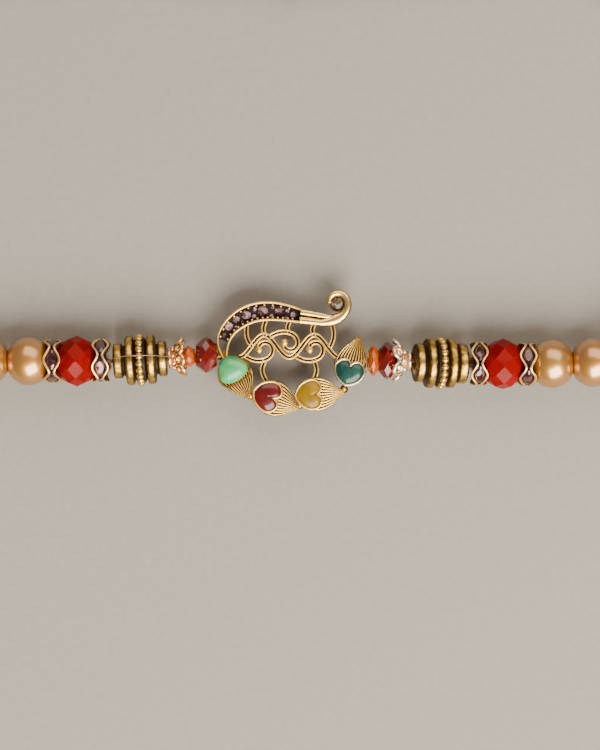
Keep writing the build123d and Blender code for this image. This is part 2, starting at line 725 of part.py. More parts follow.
def tie_cord(name, points):
    radii = cord_radii(points)
    path = FilletPolyline(*points, radius=radii)
    print(name, "length", round(path.length, 1), "radii", [round(r, 1) for r in radii])
    return sweep(Plane(origin=path @ 0, z_dir=path % 0) * Circle(CORD_D / 2), path=path)


def tie_knot():
    """A plain knot: a rounded barrel between the ends of the two cords."""
    half = KNOT_LENGTH / 2
    middle = (Vector(*LEFT_CORD[-1]) + Vector(*RIGHT_CORD[-1])) * 0.5
    bulge = ThreePointArc((KNOT_NECK_R, -half), (KNOT_D / 2, 0), (KNOT_NECK_R, half))
    corners = [(KNOT_NECK_R, half), (0, half), (0, -half), (KNOT_NECK_R, -half)]
    section = make_face([bulge, *Polyline(*corners).edges()])
    return Pos(middle) * Rot(0, 90, 0) * revolve(Plane.XZ * section, Axis.Z)


def pearl_places(first):
    """Distances of the pearls along the string: touching, then opened out round the corner."""
    places = [first]
    for i in range(1, PEARLS_ON_STRAIGHT + PEARLS_ON_TURN + PEARLS_AFTER_TURN):
        turning = PEARLS_ON_STRAIGHT <= i < PEARLS_ON_STRAIGHT + PEARLS_ON_TURN
        places.append(places[-1] + (PEARL_TURN_PITCH if turning else PEARL_PITCH))
    return places


def beads_of(side):
    """Every bead of one half of the string, named."""
    row = SIDES[side]
    made = {
        f"red_crystal_{side}": on_string(side, row["crystal"]["at"], CRYSTAL_ROLL)
        * crystal(row["crystal"]["d"], row["crystal"]["length"]),
        f"orange_bead_{side}": on_string(side, row["orange"]["at"])
        * crystal(row["orange"]["d"], row["orange"]["length"]),
        f"flower_cap_{side}": on_string(side, row["cap"]["at"]) * Rot(180, 0, 0) * flower_cap(row["cap"]),
        f"barrel_{side}": on_string(side, row["barrel"]["at"]) * Rot(0, -row["barrel"]["pitch"], 0)
        * Rot(0, 0, BARREL_ROLL) * barrel(BARREL_RINGS[side]),
        f"red_bead_{side}": on_string(side, row["red_bead"]["at"], row["red_bead"]["roll"]) * red_bead(),
    }
    for where in ("inner", "outer"):
        seat = row[f"rondelle_{where}"]
        place = on_string(side, seat["at"], seat["roll"])
        made[f"rondelle_{side}_{where}"] = place * rondelle()
        made[f"rondelle_{side}_{where}_stones"] = place * rondelle_stones()
    for number, at in enumerate(pearl_places(row["first_pearl"]), 1):
        made[f"pearl_{side}_{number}"] = on_string(side, at) * pearl()
    return made


def main():
    os.makedirs("parts", exist_ok=True)
    nodes = {"pendant_frame": pendant_frame(), "channel_stones": channel_stones(), "curl_stone": curl_stone()}
    for name, row in BUDS.items():
        nodes[f"enamel_{name}"] = enamel(row)
    for side in SIDES:
        nodes.update(beads_of(side))
        nodes[f"thread_{side}"] = thread(side)
    nodes["tie_cord_left"] = tie_cord("tie_cord_left", LEFT_CORD)
    nodes["tie_cord_right"] = tie_cord("tie_cord_right", RIGHT_CORD)
    nodes["tie_knot"] = tie_knot()
    for name, shape in nodes.items():
        export_step(shape, f"parts/{name}.step")


if __name__ == "__main__":
    main()
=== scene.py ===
"""A rakhi lying on a plain floor: a cast pendant between two strings of beads, tied into one loop."""

import math

import bmesh
import bpy
import numpy as np
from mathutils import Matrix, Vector


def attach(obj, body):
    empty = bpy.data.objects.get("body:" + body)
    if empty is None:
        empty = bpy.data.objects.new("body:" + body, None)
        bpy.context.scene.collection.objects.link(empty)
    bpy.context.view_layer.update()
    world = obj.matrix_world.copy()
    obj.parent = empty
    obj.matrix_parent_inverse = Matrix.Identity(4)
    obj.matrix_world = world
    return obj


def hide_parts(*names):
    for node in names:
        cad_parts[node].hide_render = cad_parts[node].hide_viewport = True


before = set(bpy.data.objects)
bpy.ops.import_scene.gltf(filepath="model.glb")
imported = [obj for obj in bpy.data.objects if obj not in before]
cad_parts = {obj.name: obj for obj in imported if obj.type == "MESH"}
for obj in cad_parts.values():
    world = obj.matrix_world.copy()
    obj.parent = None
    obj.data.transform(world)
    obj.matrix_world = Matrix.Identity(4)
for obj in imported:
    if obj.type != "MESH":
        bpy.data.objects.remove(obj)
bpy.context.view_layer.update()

# Sizes are in millimetres, as in the part's source, and become metres only where a mesh is made.
MM = 0.001
TAU = math.tau
UP = np.array((0.0, 0.0, 1.0))
# Points of a piece that are closer to each other than this are one point
EQUAL_WITHIN = 0.001
# Height of the string above the floor
STRING_Z = 4.30

# The two halves of the string, from the pendant outwards, and the two tie cords
LEFT_STRING = [
    (-10.4, 0.95), (-14.8, 0.95), (-20.5, 0.40), (-28.0, 0.0), (-52.95, 0.0),
    (-59.45, 3.75), (-63.2, 10.24), (-63.2, 24.2),
]
RIGHT_STRING = [
    (11.0, 0.1), (19.5, 0.05), (22.5, -0.33), (29.0, -0.42), (40.0, -0.5), (52.2, -0.15),
    (58.7, 3.6), (62.45, 10.1), (62.45, 24.05),
]
# Thickness of the tie cords, and the heights of a cord that lies on the floor and of the knot
CORD_Z = 0.72
KNOT_Z = 1.72
LEFT_CORD = [
    (-63.2, 24.2, STRING_Z), (-63.2, 30.0, STRING_Z), (-63.9, 38.2, 0.9), (-62.9, 46.8, CORD_Z),
    (-58.6, 55.6, CORD_Z), (-48.8, 60.7, CORD_Z), (-33.0, 61.6, CORD_Z), (-18.0, 60.8, 0.85),
    (-8.0, 61.3, KNOT_Z), (-2.1, 61.3, KNOT_Z),
]
RIGHT_CORD = [
    (62.45, 24.05, STRING_Z), (62.45, 29.6, STRING_Z), (63.3, 37.6, 0.9), (63.0, 46.4, CORD_Z),
    (59.5, 55.4, CORD_Z), (50.6, 60.9, CORD_Z), (35.0, 61.9, CORD_Z), (19.5, 60.8, 0.85),
    (8.5, 61.3, KNOT_Z), (2.1, 61.3, KNOT_Z),
]

# The pendant's levels and the widths of its edges
SCROLL_TOP, FAN_TOP, CUP_FLOOR, CUP_TOP, CHANNEL_TOP, RIBBON_TOP = 4.5, 4.75, 4.85, 5.3, 5.1, 5.2
CUP_RIM, CHANNEL_RIM, WIRE_W = 0.3, 0.3, 0.85
# The channel's two walls, from its tail to the ribbon
CHANNEL_OUTER = [(-11.2, 0.2), (-12.2, 3.4), (-10.7, 6.7), (-6.9, 9.2), (-4.5, 9.6), (-1.9, 9.4), (1.5, 8.4)]
CHANNEL_INNER = [(-10.5, 0.2), (-10.2, 2.7), (-9.2, 4.4), (-7.5, 5.6), (-5.7, 6.3), (-3.8, 6.5), (1.5, 6.1)]
# The ribbon's middle line and half its width there
RIBBON = np.array([
    (1.2, 7.15, 1.20), (3.5, 6.85, 1.12), (5.6, 6.60, 0.98), (7.1, 6.80, 0.85), (8.3, 7.60, 0.66),
    (8.95, 8.80, 0.58), (8.75, 10.05, 0.55), (7.95, 10.82, 0.52), (6.95, 10.90, 0.48),
    (6.10, 10.30, 0.44), (5.95, 9.35, 0.36),
])
# Each bud: its place and heading in degrees, its heart's length, width and place of the notch as a share of the
# length, and its fan's reach, its width and how far its root is aside
BUDS = {
    "green": dict(at=(-9.65, -1.55), heading=-59, long=4.3, wide=5.0, notch=0.42,
                  reach=5.45, fan=4.25, aside=0.32),
    "red": dict(at=(-4.15, -5.60), heading=-21, long=4.2, wide=4.7, notch=0.20,
                reach=5.7, fan=4.7, aside=0.0),
    "yellow": dict(at=(2.60, -5.45), heading=4, long=4.0, wide=4.5, notch=0.28,
                   reach=5.9, fan=4.5, aside=0.0),
    "teal": dict(at=(9.10, -1.90), heading=74, long=3.9, wide=4.5, notch=0.26,
                 reach=6.1, fan=4.5, aside=0.0),
}
# Half of a heart's outline in shares of its length and width, and its directions at its point and notch
HEART = np.array([(-0.50, 0.0), (-0.36, 0.26), (-0.08, 0.45), (0.22, 0.49), (0.44, 0.32), (0.45, 0.14)])
HEART_POINT_WAY = (0.35, 0.94)
HEART_NOTCH_WAY = (-0.75, -0.65)
# Half of the green heart's outline, in millimetres
PUFF = [
    (-2.6, 0.0), (-2.2, 1.05), (-1.4, 1.85), (-0.4, 2.32), (0.55, 2.5), (1.25, 2.05), (1.7, 1.1), (1.85, 0.0),
]
# Half of a fan's outline in shares of its reach and width
FAN = np.array([(-0.16, 0.36), (0.10, 0.575), (0.38, 0.565), (0.63, 0.40), (0.84, 0.17), (1.00, 0.02)])
# The scroll's stem: x at its start and end, y of its middle, its swing to each side of that and its waves
STEM_START, STEM_END, STEM_MIDDLE, STEM_SWING, STEM_WAVES = -8.7, 7.6, 2.4, 1.8, 2
# A tendril from the stem to its round end, and each one's place, with -1 where it is flipped
TENDRIL = np.array([
    (-3.20, -1.50), (-1.90, -2.15), (-0.25, -2.25), (1.05, -1.55), (1.35, -0.30), (0.45, 0.60),
    (-0.60, 0.25), (-0.75, -0.60),
])
TENDRIL_PLACES = [(-4.63, 2.4, 1), (-0.55, 2.4, -1), (3.53, 2.4, 1)]
# The stalks between the scroll and the frame
STALKS = [
    [(-6.6, 2.4), (-7.3, 3.6), (-7.4, 5.8)],
    [(-4.4, 4.0), (-4.7, 5.2), (-4.3, 6.6)],
    [(-0.5, 4.5), (-0.8, 5.4), (-0.5, 6.4)],
    [(3.5, 4.0), (3.2, 4.9), (3.6, 6.2)],
    [(6.0, 2.2), (6.6, 3.8), (6.4, 6.0)],
    [(-4.4, 0.2), (-4.9, -1.4), (-4.2, -3.3)],
    [(3.4, 0.2), (3.9, -1.4), (3.3, -3.2)],
]
# Solder between the fans' tips and their neighbours: x, y and height
SOLDER = [(-6.75, -5.7, 4.75), (1.2, -7.2, 4.75), (8.35, -4.55, 4.8)]


def blend(a, b, share):
    """The value that is a share of the way from a to b."""
    return a + (b - a) * share


# Meshes. A patch is its points, with how worn each one is as a fourth number, and its faces.

def patch(points, worn=1.0, wrap_rows=False, wrap_cols=False):
    """A grid of points as a patch: each point makes a face with its next in the row and in the column."""
    rows, cols = points.shape[:2]
    i = np.arange(rows if wrap_rows else rows - 1)[:, None]
    j = np.arange(cols if wrap_cols else cols - 1)[None, :]
    right, below = (j + 1) % cols, (i + 1) % rows
    faces = np.stack([i * cols + j, i * cols + right, below * cols + right, below * cols + j], -1)
    worn = np.broadcast_to(worn, (rows, cols))[..., None]
    return np.concatenate([points, worn], -1).reshape(-1, 4), faces.reshape(-1, 4)


def together(*patches):
    """Patches as one: each one's faces count on from the points before it."""
    starts = np.cumsum([0] + [len(points) for points, _ in patches])
    faces = [faces + start for (_, faces), start in zip(patches, starts)]
    return np.concatenate([points for points, _ in patches]), np.concatenate(faces)


def placed(shape, origin, x_way, z_way):
    """A patch moved from its own axes to a place: x, y and z times their new directions, plus the origin."""
    z = np.array(z_way, float) / np.linalg.norm(z_way)
    x = np.array(x_way, float) / np.linalg.norm(x_way)
    points, faces = shape
    turned_points = points[:, :3] @ np.array([x, np.cross(z, x), z]) + origin
    return np.column_stack([turned_points, points[:, 3]]), faces


def piece(name, shape, finish, replaces=(), smooth=True):
    """A mesh piece from a patch. Equal points become one, which closes seams and poles, and faces turn
    outwards."""
    points, faces = shape
    mesh = bpy.data.meshes.new(name)
    mesh.from_pydata(points[:, :3] * MM, [], faces)
    mesh.attributes.new("worn", "FLOAT", "POINT").data.foreach_set("value", points[:, 3].astype(np.float32))
    work = bmesh.new()
    work.from_mesh(mesh)
    bmesh.ops.remove_doubles(work, verts=work.verts, dist=EQUAL_WITHIN * MM)
    bmesh.ops.recalc_face_normals(work, faces=work.faces)
    work.to_mesh(mesh)
    work.free()
    mesh.polygons.foreach_set("use_smooth", np.full(len(mesh.polygons), smooth))
    made = bpy.data.objects.new(name, mesh)
    bpy.context.scene.collection.objects.link(made)
    mesh.materials.append(finish)
    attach(made, "root")
    if replaces:
        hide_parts(*replaces)
    return made


def circle(count, radius=1.0):
    """Points of a circle: the cosine and the sine of equal steps of a turn."""
    turn = np.arange(count) * TAU / count
    return np.stack([np.cos(turn), np.sin(turn)], -1) * radius


def turned(profile, count, worn=1.0):
    """A profile turned round Z: its radius times the cosine and sine of each step of a turn, at its height."""
    radius, height = np.array(profile, float).T
    flat = radius[:, None, None] * circle(count)
    tall = np.broadcast_to(height[:, None, None], (len(radius), count, 1))
    return patch(np.concatenate([flat, tall], -1), np.reshape(worn, (-1, 1)), wrap_cols=True)


def through(points, count, ways=None):
    """A smooth curve through points: a cubic in each run, with equal slope and bend where two runs meet.
    ways are its directions at the two ends, and without them the ends don't bend."""
    p = np.array(points, float)
    run = np.linalg.norm(np.diff(p, axis=0), axis=1)
    at = np.concatenate([[0], np.cumsum(run)])
    n = len(p)
    slope = np.diff(p, axis=0) / run[:, None]
    system, wanted = np.eye(n), np.zeros_like(p)
    i = np.arange(1, n - 1)
    system[i, i - 1], system[i, i], system[i, i + 1] = run[:-1], 2 * (run[:-1] + run[1:]), run[1:]
    wanted[1:-1] = 6 * np.diff(slope, axis=0)
    if ways is not None:
        system[0, :2] = 2 * run[0], run[0]
        system[-1, -2:] = run[-1], 2 * run[-1]
        wanted[0], wanted[-1] = 6 * (slope[0] - ways[0]), 6 * (np.array(ways[1]) - slope[-1])
    bend = np.linalg.solve(system, wanted)
    u = np.linspace(0, at[-1], count)
    k = np.clip(np.searchsorted(at, u, "right") - 1, 0, n - 2)
    h, a, b = run[k][:, None], (at[k + 1] - u)[:, None], (u - at[k])[:, None]
    return (bend[k] * a ** 3 + bend[k + 1] * b ** 3) / (6 * h) + (p[k] / h - bend[k] * h / 6) * a + (
        p[k + 1] / h - bend[k + 1] * h / 6) * b


def level(line, height):
    """A flat line at one height."""
    return np.column_stack([line, np.full(len(line), height)])


def sideways(line, closed=False):
    """The directions along a line and to its left, from the step between each point's neighbours."""
    way = np.roll(line, -1, 0) - np.roll(line, 1, 0) if closed else np.gradient(line, axis=0)
    way = way / np.linalg.norm(way, axis=1)[:, None]
    left = np.cross(UP, way) if line.shape[1] == 3 else np.stack([-way[:, 1], way[:, 0]], -1)
    return way, left / np.linalg.norm(left, axis=1)[:, None]


def pointed(rows, first, last):
    """Rows of points with one more at each end, whose points are all at one tip: the first and the last."""
    tips = [np.broadcast_to(tip, (1, *rows.shape[1:])) for tip in (first, last)]
    return np.concatenate([tips[0], rows, tips[1]])


def carried(line, section, worn=1.0, closed=False):
    """A section carried along a line: each of its points is moved to the left and up by its two numbers.
    An open line ends in a point at each end."""
    way, left = sideways(line, closed)
    lift = np.cross(way, left)
    points = line[:, None] + (section[None, :, :1] * left[:, None] + section[None, :, 1:] * lift[:, None])
    if not closed:
        points = pointed(points, line[0], line[-1])
    return patch(points, worn, wrap_rows=closed, wrap_cols=True)


def rod(line, radius, sides=10, closed=False):
    """A round wire along a line. Its wear follows the height round it and is full along its top."""
    section = circle(sides, radius)
    return carried(line, section, worn=0.55 + 0.45 * section[:, 1] / radius, closed=closed)


def ball(radius, count):
    """A ball: radius and height are the sine and cosine of half a turn."""
    turn = np.linspace(0, math.pi, count // 2 + 1)
    return turned(np.stack([radius * np.sin(turn), -radius * np.cos(turn)], -1), count)


def closed_relief(top, back_z, worn):
    """A relief, row by row, closed with a flat back at a height and with a point at each end."""
    back = top[:, [-1, 0]] * (1, 1, 0) + (0, 0, back_z)
    rows = np.concatenate([top, back], 1)
    return patch(pointed(rows, rows[0].mean(0), rows[-1].mean(0)), worn, wrap_cols=True)


def seat(node):
    """Where a bead sits: the way of its run of the string, and its two ends along that, as points on the
    string."""
    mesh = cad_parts[node].data
    points = np.zeros(len(mesh.vertices) * 3, np.float32)
    mesh.vertices.foreach_get("co", points)
    points = points.reshape(-1, 3) / MM
    middle = (points.min(0) + points.max(0)) / 2
    route = level(np.array(LEFT_STRING if middle[0] < 0 else RIGHT_STRING), STRING_Z)
    run = np.diff(route, axis=0)
    share = np.clip(((middle - route[:-1]) * run).sum(1) / (run ** 2).sum(1), 0, 1)
    nearest = route[:-1] + run * share[:, None]
    k = np.argmin(np.linalg.norm(nearest - middle, axis=1))
    way = run[k] / np.linalg.norm(run[k])
    along = (points - nearest[k]) @ way
    return way, nearest[k] + way * along.min(), nearest[k] + way * along.max()


# Materials

def paint(code):
    """A hex colour turned from sRGB to linear: the 2.4th power of each part above the dark end."""
    parts = [int(code[i:i + 2], 16) / 255 for i in (1, 3, 5)]
    return [c / 12.92 if c <= 0.04045 else ((c + 0.055) / 1.055) ** 2.4 for c in parts] + [1.0]


def add(tree, kind, settings=None, **inputs):
    """Adds a node. settings are its own properties, with stops for a ramp's colours. Each input gets a
    number or colour, or a link from another node's socket. An input's number stands after in_."""
    made = tree.nodes.new("ShaderNode" + kind)
    for key, value in (settings or {}).items():
        if key == "stops":
            elements = made.color_ramp.elements
            for number, (at, code) in enumerate(value):
                element = elements[number] if number < len(elements) else elements.new(at)
                element.position, element.color = at, paint(code)
        else:
            setattr(made, key, value)
    for key, value in inputs.items():
        socket = made.inputs[int(key[3:])] if key.startswith("in_") else made.inputs[key.replace("_", " ")]
        if isinstance(value, bpy.types.NodeSocket):
            tree.links.new(value, socket)
        else:
            socket.default_value = value
    return made


def new_material(name):
    """An empty material with an output, and its tree."""
    made = bpy.data.materials.new(name)
    made.use_nodes = True
    made.node_tree.nodes.clear()
    return made, made.node_tree


def noise(tree, place, across, **settings):
    """Noise whose spots are about that many millimetres across."""
    return add(tree, "TexNoise", Vector=place, Scale=1 / (across * MM), **settings).outputs["Fac"]


def ramp(tree, value, *stops):
    """A value turned into a colour. Each stop is a value and its hex colour."""
    return add(tree, "ValToRGB", {"stops": stops}, Fac=value).outputs[0]


def mapped(tree, value, low, high, to_low=0.0, to_high=1.0):
    """A value moved in proportion from one range to another, and held at the ends."""
    made = add(tree, "MapRange", Value=value, From_Min=low, From_Max=high, To_Min=to_low, To_Max=to_high)
    return made.outputs[0]


def bumps(tree, height, strength, depth):
    """Bumps of that many millimetres, in the shading only."""
    return add(tree, "Bump", Height=height, Strength=strength, Distance=depth * MM).outputs[0]


def surface(tree, **inputs):
    """The shader, joined to the material's output."""
    add(tree, "OutputMaterial", Surface=add(tree, "BsdfPrincipled", **inputs).outputs[0])


def plated_casting(name, dark, middle, bright, rough=0.24, recess=None):
    """Plated zinc casting with antiquing: the plating is rubbed bright on high parts and a dark lacquer is
    left in the recesses. Blotches are 0.7 mm across and the sand texture of the mould 0.12 mm.
    A piece without the worn attribute gets a recess instead: the height where the lacquer is darkest and the
    one where it is rubbed off. Its upright sides are worn evenly, as they have no recesses."""
    material, tree = new_material(name)
    texture_space = add(tree, "TexCoord").outputs
    place = texture_space["Object"]
    if recess:
        deep, high = recess
        height = add(tree, "SeparateXYZ", Vector=place).outputs["Z"]
        on_top = mapped(tree, height, deep * MM, high * MM)
        facing_up = add(tree, "SeparateXYZ", Vector=texture_space["Normal"]).outputs["Z"]
        worn = mapped(tree, facing_up, 0.3, 0.8, to_low=0.74, to_high=on_top)
    else:
        worn = add(tree, "Attribute", {"attribute_name": "worn"}).outputs["Fac"]
    blotch = mapped(tree, noise(tree, place, 0.7, Detail=3.0), 0.3, 0.7, to_low=-0.18, to_high=0.18)
    uneven = add(tree, "Math", {"operation": "ADD", "use_clamp": True}, in_0=worn, in_1=blotch).outputs[0]
    colour = ramp(tree, uneven, (0.12, dark), (0.5, middle), (0.92, bright))
    dull = mapped(tree, uneven, 0.1, 0.8, to_low=0.6, to_high=rough)
    shine = mapped(tree, uneven, 0.05, 0.4, to_low=0.35)
    sand = bumps(tree, noise(tree, place, 0.12, Detail=2.0), 0.25, 0.015)
    surface(tree, Base_Color=colour, Metallic=shine, Roughness=dull, Normal=sand)
    return material


def pearl_coat():
    """Imitation pearl: a glass bead dipped in pearl essence. The flakes give a soft metallic glow under a
    clear glossy coat. Its tint wanders a little over 3 mm."""
    material, tree = new_material("pearl_essence_on_glass")
    place = add(tree, "TexCoord").outputs["Object"]
    colour = ramp(tree, noise(tree, place, 3, Detail=2.0), (0.3, "#A87018"), (0.7, "#B67E22"))
    flakes = bumps(tree, noise(tree, place, 0.1, Detail=1.0), 0.06, 0.01)
    surface(tree, Base_Color=colour, Metallic=0.8, Roughness=0.4, Normal=flakes,
            Coat_Weight=1.0, Coat_Roughness=0.21, Coat_IOR=2.1)
    return material


def pressed_glass(name, deep, light, rough, clear=0.0, scatter=0.0, gloss=0.5, mirror=0.5):
    """Pressed and fire-polished glass: even colour with streaks 2 mm apart, and a little waviness on each
    facet. clear is how much light passes straight through, scatter how much glows inside, gloss how much of
    the surface has a sharp polish, and mirror how strongly the glass below it reflects."""
    material, tree = new_material(name)
    place = add(tree, "TexCoord").outputs["Object"]
    colour = ramp(tree, noise(tree, place, 2, Detail=2.0, Distortion=0.6), (0.3, deep), (0.72, light))
    waves = bumps(tree, noise(tree, place, 1.5), 0.1, 0.05)
    surface(tree, Base_Color=colour, Roughness=rough, IOR=1.52, Transmission_Weight=clear,
            Subsurface_Weight=scatter, Subsurface_Scale=1.5 * MM, Normal=waves,
            Coat_Weight=gloss, Coat_Roughness=0.04, Specular_IOR_Level=mirror)
    return material


def foiled_glass_painted_reflections(name, dark, light, shine=0.55):
    """Cut glass with a foil behind it. Its colour is a painted reflection: each cell of 0.8 mm takes its own
    tone, dark or light, standing for the facets' broken reflections of the lights, and the foil's mirror shows
    through the gloss."""
    material, tree = new_material(name)
    place = add(tree, "TexCoord").outputs["Object"]
    # Painted reflection: a random tone for each cell, from dark to light, in place of reflections of the lights
    facet = add(tree, "TexVoronoi", {"feature": "F1"}, Vector=place, Scale=1 / (0.8 * MM)).outputs["Color"]
    tone = add(tree, "SeparateColor", Color=facet).outputs[0]
    surface(tree, Base_Color=ramp(tree, tone, (0.15, dark), (0.85, light)), Metallic=shine, Roughness=0.12,
            Coat_Weight=1.0, Coat_Roughness=0.02, Coat_IOR=1.6)
    return material


def fired_enamel(name, deep, light, gloss=0.35):
    """Cold enamel poured into a cup: it levels to a glossy dome, with clouds of pigment 1.2 mm across and
    shallow dimples 0.9 mm across."""
    material, tree = new_material(name)
    place = add(tree, "TexCoord").outputs["Object"]
    colour = ramp(tree, noise(tree, place, 1.2, Detail=2.0), (0.3, deep), (0.7, light))
    dimples = bumps(tree, noise(tree, place, 0.9), 0.25, 0.05)
    surface(tree, Base_Color=colour, Roughness=0.3, Normal=dimples,
            Coat_Weight=gloss, Coat_Roughness=0.05, Specular_IOR_Level=0.25)
    return material


def spun_cotton(name, dark, light):
    """Mercerised cotton cord: fine fibres 0.1 mm apart run along each strand and catch a soft sheen."""
    material, tree = new_material(name)
    fibre = noise(tree, add(tree, "TexCoord").outputs["Object"], 0.1, Detail=3.0)
    surface(tree, Base_Color=ramp(tree, fibre, (0.3, dark), (0.7, light)), Roughness=0.75,
            Normal=bumps(tree, fibre, 0.5, 0.04), Sheen_Weight=0.12, Sheen_Roughness=0.4)
    return material


GOLD = plated_casting("antiqued_gold_casting", "#1A0C04", "#7E5820", "#F0C870", rough=0.38)
BURNISHED = plated_casting("burnished_gold_ribbon", "#241206", "#94702E", "#F4D080", rough=0.25)
GOLD_BODY = plated_casting("antiqued_gold_casting_body", "#1A0A06", "#4A2812", "#A87C34", rough=0.34,
                           recess=(4.0, 5.5))
SILVER_RIM = plated_casting("worn_plating_on_rim", "#3A3028", "#A08E68", "#DCCCA4")
BRASS = plated_casting("oxidised_brass_casting", "#120A02", "#664A12", "#E0B860", rough=0.3)
ROSE_GOLD = plated_casting("rose_gold_casting", "#8A4A20", "#E8A860", "#FFE0A8", rough=0.2)
PALE_ROSE = plated_casting("pale_rose_gold_casting", "#9A6A48", "#F0D0A0", "#FFF4DC", rough=0.22)
PALE_GOLD = plated_casting("pale_gold_casting", "#1E0C06", "#B48440", "#F8D498", rough=0.32)
PEARL = pearl_coat()
SCARLET = pressed_glass("opaque_scarlet_glass", "#640200", "#7C0302", rough=0.14, scatter=0.1, gloss=0.0,
                        mirror=0.08)
RED_GLASS = pressed_glass("red_fire_polished_glass", "#4C0201", "#6E0603", rough=0.05, clear=0.15, gloss=0.2)
ORANGE_GLASS = pressed_glass("orange_fire_polished_glass", "#963600", "#B85600", rough=0.1, clear=0.1,
                             scatter=0.25, gloss=0.0, mirror=0.3)
# The stones' light tones, up to white on the clear stone, are painted reflections
AUBERGINE = foiled_glass_painted_reflections("aubergine_foiled_glass", "#1E060C", "#5A2434")
MAUVE = foiled_glass_painted_reflections("mauve_foiled_glass", "#4A2430", "#E2C0CA")
CLEAR_STONE = foiled_glass_painted_reflections("clear_foiled_glass", "#5A4C38", "#FFFFFF", shine=0.35)
ENAMELS = {
    "green": fired_enamel("mint_green_enamel", "#348C50", "#4CA86A", gloss=0.5),
    "red": fired_enamel("deep_red_enamel", "#420103", "#5A0304", gloss=0.6),
    "yellow": fired_enamel("mustard_enamel", "#6E5200", "#886800", gloss=0.12),
    "teal": fired_enamel("teal_enamel", "#062020", "#16483F"),
}
COTTON = spun_cotton("mercerised_cotton", "#4C060A", "#84141A")
WAXED_THREAD = spun_cotton("waxed_stringing_thread", "#3A1A14", "#6A3A2C")
NYLON = pressed_glass("clear_nylon_line", "#6E5E50", "#8A7868", rough=0.2, clear=0.3)


# Beads

# A pearl's arc, as its radius, how far off the axis its middle is and its points, and the pearl's sides
PEARL_ARC_R, PEARL_ARC_OFF, PEARL_ARC_STEPS, PEARL_SIDES = 3.539, 0.411, 33, 56
# A pearl's drilled end, from the bore outwards: radius, share of its half length, and how far in from there
PEARL_END = [(0.60, 0.7, 0.0), (0.62, 1.0, 0.04), (0.90, 1.0, 0.0)]


def pearl(node):
    """A round bead with flat drilled ends: an arc whose middle lies a little off the axis."""
    way, low, high = seat(node)
    half = np.linalg.norm(high - low) / 2
    turn = np.linspace(-1, 1, PEARL_ARC_STEPS) * math.asin(half / PEARL_ARC_R)
    arc = np.stack([PEARL_ARC_OFF + PEARL_ARC_R * np.cos(turn), PEARL_ARC_R * np.sin(turn)], -1)
    end = [(radius, half * share - inset) for radius, share, inset in PEARL_END]
    profile = [(x, -z) for x, z in end] + arc.tolist() + end[::-1]
    shape = turned([(0, profile[0][1])] + profile + [(0, profile[-1][1])], PEARL_SIDES)
    piece("nacre_" + node, placed(shape, (low + high) / 2, UP, way), PEARL, [node])


# Each barrel: how many degrees its outer end is pitched down, and its rings from the pendant's side outwards,
# as width, radius and the gap after it
BARRELS = {
    "barrel_left": dict(pitch=0, rings=[
        (1.40, 2.88, 0.30), (1.55, 4.02, 0.0), (1.90, 3.62, 0.0), (1.55, 4.02, 0.40), (1.50, 2.84, 0.0),
    ]),
    "barrel_right": dict(pitch=10, rings=[
        (1.50, 3.16, 0.20), (1.55, 4.05, 0.0), (1.90, 3.62, 0.0), (1.55, 4.02, 0.15), (1.75, 3.26, 0.0),
    ]),
}
BARREL_CORE_R, BARREL_SIDES = 2.45, 64
# How far the granules are turned on round the barrel
BARREL_ROLL = math.radians(9)
# How many points a ring's profile has
RING_STEPS = 13
# The ring that carries the granules, and the radius that it falls to at its sides
BEADED_RING, BEADED_CORE_R = 2, 3.1
GRANULES, GRANULE_R, GRANULE_SIDES = 20, 0.66, 12
# The radius at which a granule's wear starts, and the distance from there to full wear
GRANULE_WEAR = (3.45, 0.45)
# The end of a barrel, from the bore outwards: radius, depth and wear. The end face's high wear is painted
# light, which brightens a face that turns away from the lights.
BARREL_END = [(0.0, 0.5, 0.0), (0.45, 0.5, 0.0), (0.5, 0.12, 0.9), (1.3, 0.1, 0.9)]


def barrel(node, pitch, rings):
    """Rings on a core. A ring's radius falls from its middle by a power of one less the fourth power of the
    distance: the 0.4th power, or the root for the ring that carries the granules, which are balls. Rings are
    worn most along their middles and granules at their tops, and the ring under the granules stays dark."""
    way, low, high = seat(node)
    at = -sum(width + gap for width, _, gap in rings) / 2
    # The end faces' wear from BARREL_END is painted light: it brightens them where they fall in shade
    profile = [(radius, at + depth) for radius, depth, _ in BARREL_END]
    worn = [wear for _, _, wear in BARREL_END]
    share = np.linspace(-1, 1, RING_STEPS)
    for number, (width, radius, gap) in enumerate(rings):
        beaded = number == BEADED_RING
        core, power = (BEADED_CORE_R, 0.5) if beaded else (BARREL_CORE_R, 0.4)
        across = core + (radius - core) * (1 - share ** 4) ** power
        profile += np.stack([across, at + width * (share + 1) / 2], -1).tolist()
        wear = np.full(RING_STEPS, 0.03) if beaded else 0.12 + 0.6 * (1 - np.abs(share) ** 3)
        worn += wear.tolist()
        at += width + gap
    profile += [(radius, at - depth) for radius, depth, _ in reversed(BARREL_END)]
    worn += [wear for _, _, wear in reversed(BARREL_END)]
    granule_places = circle(GRANULES) * rings[BEADED_RING][1]
    granule = ball(GRANULE_R, GRANULE_SIDES)
    granules = [placed(granule, (*xy, 0), (1, 0, 0), UP) for xy in granule_places]
    for points, _ in granules:
        out = np.linalg.norm(points[:, :2], axis=1)
        points[:, 3] = np.clip((out - GRANULE_WEAR[0]) / GRANULE_WEAR[1], 0, 1)
    shape = together(turned(profile, BARREL_SIDES, worn), *granules)
    tilt = math.radians(pitch)
    axis = math.cos(tilt) * way - math.sin(tilt) * UP
    level_way = np.cross(way, UP)
    x_way = math.cos(BARREL_ROLL) * np.cross(level_way, axis) + math.sin(BARREL_ROLL) * level_way
    piece("turned_" + node, placed(shape, (low + high) / 2, x_way, axis), BRASS, [node])


